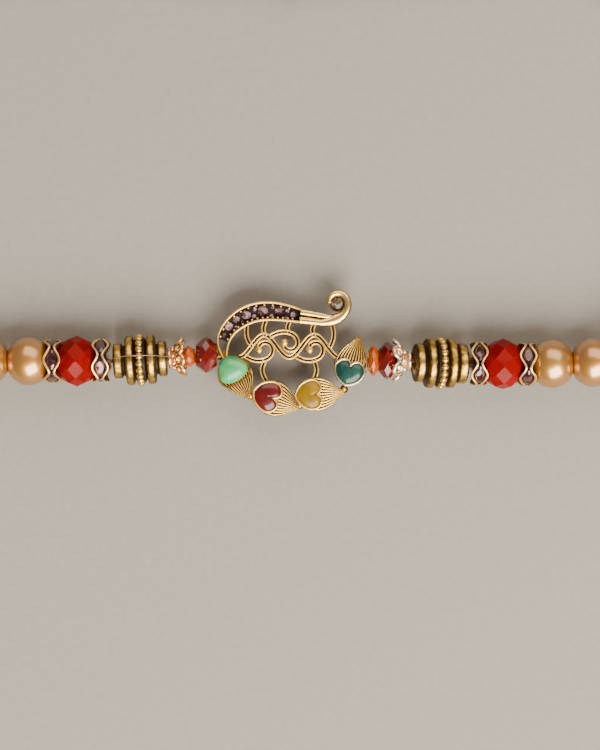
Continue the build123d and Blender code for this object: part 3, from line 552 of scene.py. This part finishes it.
# Each cap: its petals, the share of a step at which the first one stands, how widely they spread, its depth and
# its collar's height
CAPS = {
    "flower_cap_left": dict(petals=8, first=0.25, spread=1.0, deep=2.95, collar=1.0,
                            finish=ROSE_GOLD, slot="rose_gold"),
    "flower_cap_right": dict(petals=6, first=0.5, spread=1.1, deep=3.25, collar=1.3,
                             finish=PALE_ROSE, slot="pale_rose_gold"),
}
PETAL_LEAN = math.radians(48)
# A petal's reach from its middle and half its thickness
PETAL_R, PETAL_HALF_THICK = 1.12, 0.275
# The ring that a petal is: the radius of its middle line and its own, the steps of its line and its sides
PETAL_LOOP_R, PETAL_ROLL_R, PETAL_STEPS, PETAL_SIDES = 0.74, 0.36, 20, 8
# How far out a petal's middle is, as far as it doesn't depend on its lean
PETAL_ROOT_R, PETAL_ARM = 1.75, 1.02
CAP_BORE_R, COLLAR_R, CAP_SIDES = 0.6, 1.75, 48
# A cap's flange, from its bore over its edge to the neck: radius, height and wear
CAP_FLANGE = [(CAP_BORE_R, 0, 0.3), (1.6, 0, 0.6), (1.78, 0.1, 1), (1.8, 0.3, 1), (1.66, 0.42, 0.7)]
CAP_NECK_R, CAP_NECK_Z = 1.5, 0.5
# The beads between a cap's petals: radius, sides, distance from the axis, and how far below the collar's top
CAP_BEAD_R, CAP_BEAD_SIDES, CAP_BEAD_OUT, CAP_BEAD_DOWN = 0.3, 8, 1.62, 0.2


def flower_cap(node, petals, first, spread, deep, collar, finish, slot):
    """A flange, a neck and a bowl, with rolled petals and a bead between each two. A petal is a ring that leans
    outwards. It has no deep recesses, so it is at least half worn all over."""
    way, low, high = seat(node)
    petal_at = (PETAL_ROOT_R + PETAL_ARM * math.cos(PETAL_LEAN)) * spread
    petal_up = deep - PETAL_R * math.sin(PETAL_LEAN) - PETAL_HALF_THICK * math.cos(PETAL_LEAN)
    bowl = np.array(CAP_FLANGE + [
        (CAP_NECK_R, CAP_NECK_Z, 0.1), (CAP_NECK_R, collar - 0.15, 0.2), (COLLAR_R, collar, 0.8),
        (petal_at - 0.1, petal_up, 0.8), (petal_at - 0.4, petal_up + 0.1, 0.6),
        (CAP_BORE_R, petal_up + 0.05, 0.1), CAP_FLANGE[0],
    ])
    shapes = [turned(bowl[:, :2], CAP_SIDES, bowl[:, 2])]
    loop = level(circle(PETAL_STEPS, PETAL_LOOP_R * spread), 0.0)
    for number in range(petals):
        turn = TAU * (number + first) / petals
        out = np.array((math.cos(turn), math.sin(turn), 0))
        slant = out * math.cos(PETAL_LEAN) + UP * math.sin(PETAL_LEAN)
        face = np.cross(slant, np.cross(UP, out))
        petal, faces = rod(loop, PETAL_ROLL_R, PETAL_SIDES, closed=True)
        petal[:, 3] = 0.5 + 0.5 * petal[:, 3]
        shapes.append(placed((petal, faces), out * petal_at + UP * petal_up, slant, face))
        between = TAU * (number + first + 0.5) / petals
        bead_at = (CAP_BEAD_OUT * math.cos(between), CAP_BEAD_OUT * math.sin(between), collar - CAP_BEAD_DOWN)
        shapes.append(placed(ball(CAP_BEAD_R, CAP_BEAD_SIDES), bead_at, (1, 0, 0), UP))
    piece("rolled_" + node, placed(together(*shapes), high, UP, -way), finish, [node])


# An eye-shaped stone's rows, from its foot over its girdle and crown to its table: share of its outline, height
NAVETTE_ROWS = np.array([(0.0, -0.35), (0.5, -0.35), (1.0, -0.05), (0.97, 0.06), (0.62, 0.36), (0.0, 0.40)])
NAVETTE_HALF_LONG, NAVETTE_HALF_WIDE, NAVETTE_SIDES = 1.66, 0.92, 16


def navette():
    """An eye-shaped stone. Its outline is a circle's sine and cosine times its half width and half length, with
    the width times the 0.35th power of the sine again, which makes both ends pointed."""
    cosine, sine = circle(NAVETTE_SIDES).T
    outline = np.stack([NAVETTE_HALF_WIDE * sine * np.abs(sine) ** 0.35, NAVETTE_HALF_LONG * cosine], -1)
    size, height = NAVETTE_ROWS.T
    tall = np.broadcast_to(height[:, None, None], (len(height), NAVETTE_SIDES, 1))
    return patch(np.concatenate([outline[None] * size[:, None, None], tall], -1), wrap_cols=True)


RONDELLES = {"rondelle_left_inner": 53, "rondelle_left_outer": 4,
             "rondelle_right_inner": 36, "rondelle_right_outer": -25}
RONDELLE_STONES, RONDELLE_STEPS = 5, 160
# Half a rondelle's width at a neck and how much it swells at a stone, and its radius and how much that sinks
RONDELLE_NECK, RONDELLE_SWELL, RONDELLE_R, RONDELLE_DIP = 0.55, 0.87, 3.66, 0.30
# One rim, from the bore over the lip into the cell: share of the half width, what is added to that, how far in
# from the radius, and wear
RONDELLE_RIM = np.array([
    (0.55, 0.0, 1.9, 0.05), (0.80, 0.0, 0.9, 0.25), (1.0, 0.0, 0.22, 0.6), (1.0, 0.03, 0.06, 0.95),
    (1.0, -0.12, 0.0, 1.0), (1.0, -0.34, 0.05, 0.9), (1.0, -0.42, 0.22, 0.3), (1.0, -0.46, 0.85, 0.0),
])
# The bore between the two rims: along the axis and radius, and wear
RONDELLE_BORE, RONDELLE_BORE_WEAR = [(-0.5, 0.62), (0.5, 0.62)], [0.1, 0.1]
RONDELLE_STONE_R = 2.95


def wavy_rondelle(node, roll):
    """A ring with two wavy rims round its stones. Half its width follows the 0.85th power of half of one plus
    the cosine, which comes round once for each stone."""
    way, low, high = seat(node)
    turn = np.arange(RONDELLE_STEPS) * TAU / RONDELLE_STEPS
    swell = (0.5 + 0.5 * np.cos(RONDELLE_STONES * turn)) ** 0.85
    half, radius = RONDELLE_NECK + RONDELLE_SWELL * swell, RONDELLE_R - RONDELLE_DIP * swell
    share, added, sunk, lip = RONDELLE_RIM.T
    rim = np.stack([half[:, None] * share + added, radius[:, None] - sunk], -1)
    bore = np.broadcast_to(RONDELLE_BORE, (RONDELLE_STEPS, 2, 2))
    section = np.concatenate([rim, rim[:, ::-1] * (-1, 1), bore], 1)
    points = np.concatenate([section[..., 1:] * circle(RONDELLE_STEPS)[:, None], section[..., :1]], -1)
    worn = np.concatenate([lip, lip[::-1], RONDELLE_BORE_WEAR])
    metal = patch(points, worn[None], wrap_rows=True, wrap_cols=True)
    middle = (low + high) / 2
    tilt = math.radians(roll)
    x_way = math.cos(tilt) * UP + math.sin(tilt) * np.cross(way, UP)
    piece("rims_" + node, placed(metal, middle, x_way, way), PALE_GOLD, [node])
    outwards = [np.array((*xy, 0)) for xy in circle(RONDELLE_STONES)]
    stones = together(*[placed(navette(), out * RONDELLE_STONE_R, (0, 0, 1), out) for out in outwards])
    piece("navettes_" + node, placed(stones, middle, x_way, way), AUBERGINE,
          [node + "_stones"], smooth=False)


# Pendant

# Round rims: their radius on the cups and the channel and how far they sink there, and their radius on the
# wires and how far in from a wire's edge they are
RIM_R, RIM_SINK, WIRE_RIM_R, WIRE_RIM_INSET = 0.21, 0.02, 0.17, 0.15
CHANNEL_RIM_STEPS = 120
# The ball at a tendril's end and the blob of solder: radius and sides
BERRY_R, BERRY_SIDES, SOLDER_R, SOLDER_SIDES = 0.66, 20, 0.42, 16


def rims_of(line, height, aside, radius, closed=False):
    """A round rim along a flat line, moved to its left."""
    _, left = sideways(line, closed)
    return rod(level(line + left * aside, height), radius, closed=closed)


def bud_axes(bud):
    """Where a bud lies, with its X towards the fan's tip."""
    turn = math.radians(bud["heading"])
    return dict(origin=np.array((*bud["at"], 0.0)), x_way=(math.cos(turn), math.sin(turn), 0), z_way=UP)


HEART_STEPS = 41


def mirrored(upper):
    """A closed outline from its upper half, whose ends are on the axis."""
    return np.concatenate([upper, upper[-2:0:-1] * (1, -1)])


def heart(bud, grow):
    """The heart's outline, moved outwards: a smooth curve from its point to its notch, and its mirror image."""
    half = np.vstack([HEART * (bud["long"], bud["wide"]), (bud["notch"] * bud["long"], 0)])
    upper = through(half, HEART_STEPS, (HEART_POINT_WAY, HEART_NOTCH_WAY))
    _, left = sideways(upper)
    upper = upper + left * grow
    upper[[0, -1], 1] = 0
    return mirrored(upper)


def puffed_heart():
    """The green heart's outline: its enamel runs over the rim and fills the notch."""
    return mirrored(through(PUFF, HEART_STEPS, ((0, 1), (0, -1))))


# Rise of an enamel's dome above its edge, which lies below the cup's top and outside the heart's outline. The
# dome's middle is a share of the heart's length from the bud's.
DOME_RISE, PUFF_RISE, DOME_EDGE_DOWN, DOME_EDGE_OUT = 0.62, 1.25, 0.12, 0.02
DOME_MIDDLE, DOME_ROWS = -0.04, 18


def enamel_dome(name, bud, outline, rise):
    """A domed heart: the outline shrinks to its middle while the height grows as the 0.6th power of one less
    the 2.2th power of the shrunk size. A flat back closes it."""
    middle = np.array((DOME_MIDDLE * bud["long"], 0.0))
    shrunk = np.linspace(1, 0, DOME_ROWS)
    size = np.concatenate([[0, 1], shrunk])
    dome = CUP_TOP - DOME_EDGE_DOWN + rise * (1 - shrunk ** 2.2) ** 0.6
    lift = np.concatenate([[CUP_FLOOR, CUP_FLOOR], dome])
    flat = middle + (outline - middle)[None] * size[:, None, None]
    tall = np.broadcast_to(lift[:, None, None], (len(size), len(outline), 1))
    shape = patch(np.concatenate([flat, tall], -1), wrap_cols=True)
    node = "enamel_" + name
    piece("poured_" + node, placed(shape, **bud_axes(bud)), ENAMELS[name], [node])


FAN_RIBS, FAN_ROWS, RIB_STEPS = 11, 48, 10
# The height of a rib and of the crown at the fan's tip, and how much is added further in
RIB_RISE, CROWN_RISE = (0.14, 0.16), (0.05, 0.12)
# How far the relief is above the CAD's face, how far past its edge, and how far below the face its back is
FAN_LIFT, FAN_SPILL, FAN_BACK = 0.02, 0.05, 0.3


def fan_relief(bud):
    """A ribbed fan: across it, the height is the 0.7th power of the sine of each rib's half turn, and it sinks
    towards the tip. A low crown lifts the middle, and the tip is worn smooth."""
    along, across = through(FAN * (bud["reach"], bud["fan"]), FAN_ROWS).T
    share = np.linspace(-1, 1, FAN_RIBS * RIB_STEPS + 1)
    wave = np.abs(np.sin(math.pi * FAN_RIBS * (share + 1) / 2))
    fade = np.clip(1 - along / bud["reach"], 0, 1)[:, None]
    rib = wave[None] ** 0.7 * (RIB_RISE[0] + RIB_RISE[1] * fade)
    crown = (1 - share[None] ** 2) * (CROWN_RISE[0] + CROWN_RISE[1] * np.sin(math.pi * fade))
    y = (across[:, None] + FAN_SPILL) * share[None] + bud["aside"] * fade
    top = np.stack(np.broadcast_arrays(along[:, None], y, FAN_TOP + FAN_LIFT + rib + crown), -1)
    ridges = np.concatenate([np.clip(wave * 1.7 - 0.5, 0, 1), [0, 0]])
    towards_tip = np.linspace(0, 1, FAN_ROWS + 2)[:, None]
    worn = np.clip(ridges[None] + 0.7 * towards_tip ** 6, 0, 1)
    return placed(closed_relief(top, FAN_TOP - FAN_BACK, worn), **bud_axes(bud))


STEM_STEPS, TENDRIL_STEPS, STALK_STEPS = 90, 60, 20


def scroll_lines():
    """The stem, which is a sine wave, the tendrils in its bends, and the stalks that tie them to the frame."""
    share = np.linspace(0, 1, STEM_STEPS)
    swing = STEM_SWING * np.cos(TAU * STEM_WAVES * share)
    stem = np.stack([blend(STEM_START, STEM_END, share), STEM_MIDDLE - swing], -1)
    tendrils = [through(TENDRIL * (1, flip) + (x, y), TENDRIL_STEPS) for x, y, flip in TENDRIL_PLACES]
    return [stem, *tendrils, *[through(points, STALK_STEPS) for points in STALKS]]


# Points along the ribbon and across each of its domes
RIBBON_STEPS, RIBBON_ACROSS = 110, 15
# How far the domes are above the CAD's face, how far past its edge, and how far below the face their backs are
RIBBON_LIFT, RIBBON_SPILL, RIBBON_BACK = 0.01, 0.03, 0.3
# The rows of the ribbon's table between which the lower band widens until it fills the curl
RIBBON_WIDENS = (2.2, 4.4)
# The lower band and the upper ridge: shares of the half width between which each lies, rise, and steps. The
# ridge narrows to nothing over its last steps.
LOWER_BAND = dict(low=-1.0, high=0.05, rise=0.50, steps=RIBBON_STEPS)
UPPER_RIDGE = dict(low=0.24, high=1.0, rise=0.30, steps=46)
RIDGE_NARROWS = 14


def ribbon_shapes():
    """The ribbon's lower band and upper ridge. Each is a low dome: its height falls from the middle by the root
    of one less the square of the distance. Its edges are the least worn."""
    line = through(RIBBON, RIBBON_STEPS)
    _, left = sideways(line[:, :2])
    rows = np.linspace(0, len(RIBBON) - 1, RIBBON_STEPS)
    widened = np.clip((rows - RIBBON_WIDENS[0]) / (RIBBON_WIDENS[1] - RIBBON_WIDENS[0]), 0, 1)
    widened = widened * widened * (3 - 2 * widened)
    u = np.linspace(-1, 1, RIBBON_ACROSS)
    worn = np.concatenate([1 - 0.75 * np.abs(u) ** 5, [0, 0]])
    shapes = []
    for band in (LOWER_BAND, UPPER_RIDGE):
        low, steps = band["low"], band["steps"]
        upper = blend(band["high"], 1.0, widened) if band is LOWER_BAND else np.full(RIBBON_STEPS, band["high"])
        centre, half = (low + upper) / 2, (upper - low) / 2
        middle = line[:, :2] + left * (centre * line[:, 2])[:, None]
        size = half * line[:, 2] + RIBBON_SPILL
        if band is UPPER_RIDGE:
            size = size * np.clip((steps - np.arange(RIBBON_STEPS)) / RIDGE_NARROWS, 0, 1) ** 0.5
        flat = middle[:, None] + left[:, None] * (size[:, None] * u[None])[..., None]
        tall = np.minimum(band["rise"], size)[:, None] * np.sqrt(1 - u[None] ** 2)
        top = np.concatenate([flat, (RIBBON_TOP + RIBBON_LIFT + tall)[..., None]], -1)[:steps]
        shapes.append(closed_relief(top, RIBBON_TOP - RIBBON_BACK, worn[None]))
    return shapes


# Prongs on each wall of the channel: its line, the side of it that they are on, and the steps between two
PRONG_WALLS = [(CHANNEL_OUTER, -1, 28), (CHANNEL_INNER, 1, 20)]
# A prong's radius and sides, and how far in from its wall and below the channel's top it is
PRONG_R, PRONG_SIDES, PRONG_INSET, PRONG_DOWN = 0.21, 10, 0.52, 0.26
# The steps that a wall is divided into, and those without prongs at its tail and at the ribbon
WALL_STEPS, PRONG_FIRST, PRONG_LAST = 400, 80, 20


def prongs():
    """Granules of metal that hold the channel's stones, evenly spaced along both of its walls."""
    shapes = []
    for line, side, step in PRONG_WALLS:
        walk = through(line, WALL_STEPS)
        _, left = sideways(walk)
        inset = walk + left * side * PRONG_INSET
        for x, y in inset[PRONG_FIRST:-PRONG_LAST:step]:
            place = (x, y, CHANNEL_TOP - PRONG_DOWN)
            shapes.append(placed(ball(PRONG_R, PRONG_SIDES), place, (1, 0, 0), UP))
    return shapes


# Tie cords

# A cord's strands: how many, how far out each one's middle is, its radius and sides, and the length of a turn
STRANDS, STRAND_OUT, STRAND_R, STRAND_SIDES, STRAND_TURN = 3, 0.34, 0.36, 10, 4.2
CORD_STEPS = 240


def cord_line(name, route, count):
    """Points read evenly from a NURBS spline whose control points are the cord's route."""
    data = bpy.data.curves.new(name + "_route", "CURVE")
    data.dimensions = "3D"
    data.resolution_u = 24
    spline = data.splines.new("NURBS")
    spline.points.add(len(route) - 1)
    spline.points.foreach_set("co", np.column_stack([np.array(route) * MM, np.ones(len(route))]).ravel())
    spline.order_u = 3
    spline.use_endpoint_u = True
    holder = bpy.data.objects.new(name + "_route", data)
    bpy.context.scene.collection.objects.link(holder)
    bpy.context.view_layer.update()
    mesh = bpy.data.meshes.new_from_object(holder)
    points = np.zeros(len(mesh.vertices) * 3, np.float32)
    mesh.vertices.foreach_get("co", points)
    points = points.reshape(-1, 3).astype(float) / MM
    bpy.data.objects.remove(holder)
    at = np.concatenate([[0], np.cumsum(np.linalg.norm(np.diff(points, axis=0), axis=1))])
    even = np.linspace(0, at[-1], count)
    return np.stack([np.interp(even, at, points[:, k]) for k in range(3)], -1), at[-1]


def twisted_cord(name, route):
    """Strands wound evenly round the cord's line."""
    line, length = cord_line(name, route, CORD_STEPS)
    way, left = sideways(line)
    lift = np.cross(way, left)
    turn = np.linspace(0, TAU * length / STRAND_TURN, len(line))
    shapes = []
    for number in range(STRANDS):
        angle = turn + TAU * number / STRANDS
        middle = line + STRAND_OUT * (np.cos(angle)[:, None] * left + np.sin(angle)[:, None] * lift)
        shapes.append(carried(middle, circle(STRAND_SIDES, STRAND_R)))
    made = piece("twisted_" + name, together(*shapes), COTTON, [name])


KNOT_AT = np.array((0.0, 61.3, KNOT_Z))
# The knot's winding: its turns and steps, half its length, its radius and how much that swells
KNOT_TURNS, KNOT_STEPS, KNOT_HALF, KNOT_R, KNOT_SWELL = 4.5, 160, 1.68, 1.22, 0.06
KNOT_CORD_R, KNOT_CORD_SIDES = 0.40, 10
# The core's profile: radius and place along the knot
KNOT_CORE = [(0, -1.9), (0.7, -1.9), (1.1, -1.5), (1.1, 1.5), (0.7, 1.9), (0, 1.9)]
KNOT_CORE_SIDES = 24


def wound_knot():
    """A wrapped knot: a cord wound round a core. The winding's line is a helix round X."""
    share = np.linspace(0, 1, KNOT_STEPS)
    radius = KNOT_R + KNOT_SWELL * np.sin(math.pi * share)
    angle = share * TAU * KNOT_TURNS
    helix = np.stack([blend(-KNOT_HALF, KNOT_HALF, share), radius * np.cos(angle), radius * np.sin(angle)], -1)
    way = np.gradient(helix, axis=0)
    way /= np.linalg.norm(way, axis=1)[:, None]
    out = helix * (0, 1, 1) / radius[:, None]
    side = np.cross(way, out)
    ring = circle(KNOT_CORD_SIDES, KNOT_CORD_R)
    points = helix[:, None] + ring[None, :, :1] * out[:, None] + ring[None, :, 1:] * side[:, None]
    winding = patch(pointed(points, helix[0], helix[-1]), wrap_cols=True)
    core = placed(turned(KNOT_CORE, KNOT_CORE_SIDES), KNOT_AT, UP, (1, 0, 0))
    shape = together(placed(winding, KNOT_AT, (1, 0, 0), UP), core)
    return piece("wound_tie_knot", shape, COTTON, ["tie_knot"])


# The loose strand of clear line that lies over the left barrel
LOOSE_STRAND = [
    (-29.9, 0.0, 5.6), (-28.5, 0.45, 7.4), (-26.9, 0.75, 8.36), (-24.6, 0.85, 8.60), (-22.2, 0.85, 8.36),
    (-20.7, 0.75, 7.4), (-19.2, 0.6, 6.0),
]
LOOSE_STRAND_R, LOOSE_STRAND_SIDES, LOOSE_STRAND_STEPS = 0.08, 8, 60


# Putting it together

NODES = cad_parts
for node in NODES:
    if node.startswith("pearl_"):
        pearl(node)
for node, row in BARRELS.items():
    barrel(node, **row)
for node, row in CAPS.items():
    flower_cap(node, **row)
for node, roll in RONDELLES.items():
    wavy_rondelle(node, roll)

wires = []
for line in scroll_lines():
    for side in (-1, 1):
        wires.append(rims_of(line, SCROLL_TOP, side * (WIRE_W / 2 - WIRE_RIM_INSET), WIRE_RIM_R))
berry, blob = ball(BERRY_R, BERRY_SIDES), ball(SOLDER_R, SOLDER_SIDES)
berries = [placed(berry, (*(TENDRIL[-1] * (1, flip) + (x, y)), SCROLL_TOP), (1, 0, 0), UP)
           for x, y, flip in TENDRIL_PLACES]
blobs = [placed(blob, place, (1, 0, 0), UP) for place in SOLDER]
channel_rims = []
for wall, side in ((CHANNEL_OUTER, -1), (CHANNEL_INNER, 1)):
    line = through(wall, CHANNEL_RIM_STEPS)
    channel_rims.append(rims_of(line, CHANNEL_TOP - RIM_SINK, side * CHANNEL_RIM / 2, RIM_R))
piece("scroll_edges", together(*wires, *berries, *blobs), GOLD)
piece("channel_edges", together(*channel_rims, *prongs()), GOLD)
piece("smooth_ribbon", together(*ribbon_shapes()), BURNISHED)
for name, bud in BUDS.items():
    piece("ribbed_fan_" + name, fan_relief(bud), GOLD)
    if name == "green":
        enamel_dome(name, bud, puffed_heart(), PUFF_RISE)
    else:
        enamel_dome(name, bud, heart(bud, DOME_EDGE_OUT), DOME_RISE)
        rim = rims_of(heart(bud, CUP_RIM / 2), CUP_TOP - RIM_SINK, 0.0, RIM_R, closed=True)
        finish = SILVER_RIM if name == "teal" else GOLD
        piece("cup_rim_" + name, placed(rim, **bud_axes(bud)), finish)

strand = rod(through(LOOSE_STRAND, LOOSE_STRAND_STEPS), LOOSE_STRAND_R, LOOSE_STRAND_SIDES)
piece("nylon_strand", strand, NYLON)
knot = wound_knot()
twisted_cord("tie_cord_left", LEFT_CORD)
twisted_cord("tie_cord_right", RIGHT_CORD)

CAD_FINISHES = {
    "pendant_frame": GOLD_BODY, "channel_stones": MAUVE, "curl_stone": CLEAR_STONE,
    "red_crystal_left": RED_GLASS, "red_crystal_right": RED_GLASS,
    "orange_bead_left": ORANGE_GLASS, "orange_bead_right": ORANGE_GLASS,
    "red_bead_left": SCARLET, "red_bead_right": SCARLET,
    "thread_left": WAXED_THREAD, "thread_right": WAXED_THREAD,
}
for node, finish in CAD_FINISHES.items():
    NODES[node].data.materials.clear()
    NODES[node].data.materials.append(finish)

# Stage: a pale floor, two soft boxes and a camera that looks straight down, in metres
FLOOR_HALF = 1.5
corners = [(x * FLOOR_HALF, y * FLOOR_HALF, 0) for x, y in ((-1, -1), (1, -1), (1, 1), (-1, 1))]
floor_mesh = bpy.data.meshes.new("floor")
floor_mesh.from_pydata(corners, [], [(0, 1, 2, 3)])
floor = bpy.data.objects.new("floor", floor_mesh)
bpy.context.scene.collection.objects.link(floor)
backdrop, tree = new_material("pale_matt_paper")
tone = noise(tree, add(tree, "TexCoord").outputs["Object"], 1)
surface(tree, Base_Color=ramp(tree, tone, (0.3, "#83817B"), (0.7, "#89867F")), Roughness=0.9)
floor_mesh.materials.append(backdrop)

LIGHTS = {
    "front_softbox": dict(at=(0.19, -0.43, 0.45), size=(0.66, 0.54), power=18.0, tint="#FFF6EA"),
    "back_softbox": dict(at=(0.12, 0.44, 0.42), size=(0.8, 0.5), power=4.0, tint="#FFEBD8"),
}
for name, row in LIGHTS.items():
    data = bpy.data.lights.new(name, "AREA")
    data.shape = "RECTANGLE"
    data.size, data.size_y = row["size"]
    data.energy, data.color = row["power"], paint(row["tint"])[:3]
    lamp = bpy.data.objects.new(name, data)
    lamp.location = row["at"]
    lamp.rotation_euler = (-Vector(row["at"])).to_track_quat("-Z", "Y").to_euler()
    bpy.context.scene.collection.objects.link(lamp)
world = bpy.data.worlds.new("studio")
world.use_nodes = True
sky = world.node_tree.nodes["Background"].inputs
sky["Color"].default_value = paint("#EADFD0")
sky["Strength"].default_value = 0.42
bpy.context.scene.world = world

# What the camera looks at and how far it is from the string, and the length that the picture's long side spans
# at the string's height, in millimetres
LOOK_AT, AWAY, SPAN = (1.23, -2.26, STRING_Z), 430.0, 121.2
lens = bpy.data.cameras.new("overhead")
lens.sensor_width = 36.0
lens.lens = lens.sensor_width * AWAY / SPAN
lens.clip_start, lens.clip_end = 0.05, 10.0
camera = bpy.data.objects.new("overhead", lens)
camera.location = (LOOK_AT[0] * MM, LOOK_AT[1] * MM, (LOOK_AT[2] + AWAY) * MM)
bpy.context.scene.collection.objects.link(camera)
bpy.context.scene.camera = camera
